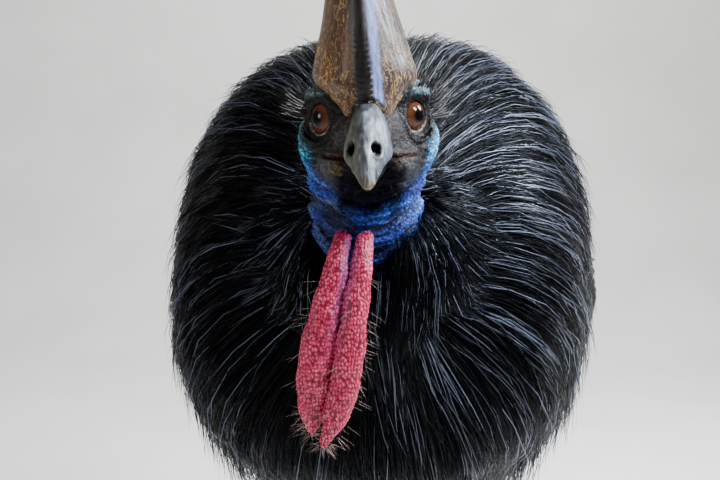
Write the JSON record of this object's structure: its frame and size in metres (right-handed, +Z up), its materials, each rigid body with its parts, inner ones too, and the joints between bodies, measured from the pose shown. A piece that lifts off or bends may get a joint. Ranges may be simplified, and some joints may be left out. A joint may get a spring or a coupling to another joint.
{
  "type": "cassowary",
  "caption": "Life-size cassowary standing still with its neck drawn in, facing the viewer, with a tall casque, hanging wattles and shaggy plumage.",
  "frame": {"origin": "on the floor, below the middle of the whole bird's bounding box", "axes": "+Z up from the floor, -Y the way the bird faces, +X to the bird's left"},
  "size_m": [0.5616, 1.1997, 1.1706],
  "materials": {
    "torso": "glossy black hair-like feathers",
    "neck": "wrinkled bare skin",
    "head": "wrinkled bare skin",
    "casque": "worn horn",
    "bill": "streaked horn",
    "eye": "wet and polished",
    "wattle": "pebbled bare skin",
    "wing": "smooth dark quills",
    "leg": "scaled skin",
    "claw": "polished horn"
  },
  "bodies": {
    "root": {"torso": "torso", "neck": "neck", "head": "head", "casque": "casque", "bill_upper": "bill", "bill_lower": "bill", "eye_left": "eye", "eye_right": "eye", "wattle_left": "wattle", "wattle_right": "wattle", "wing_left": "wing", "wing_right": "wing", "thigh_left": "torso", "thigh_right": "torso", "shank_left": "leg", "shank_right": "leg", "toe_inner_left": "leg", "toe_inner_right": "leg", "toe_middle_left": "leg", "toe_middle_right": "leg", "toe_outer_left": "leg", "toe_outer_right": "leg", "claw_inner_left": "claw", "claw_inner_right": "claw", "claw_middle_left": "claw", "claw_middle_right": "claw", "claw_outer_left": "claw", "claw_outer_right": "claw"}
  },
  "joints": []
}
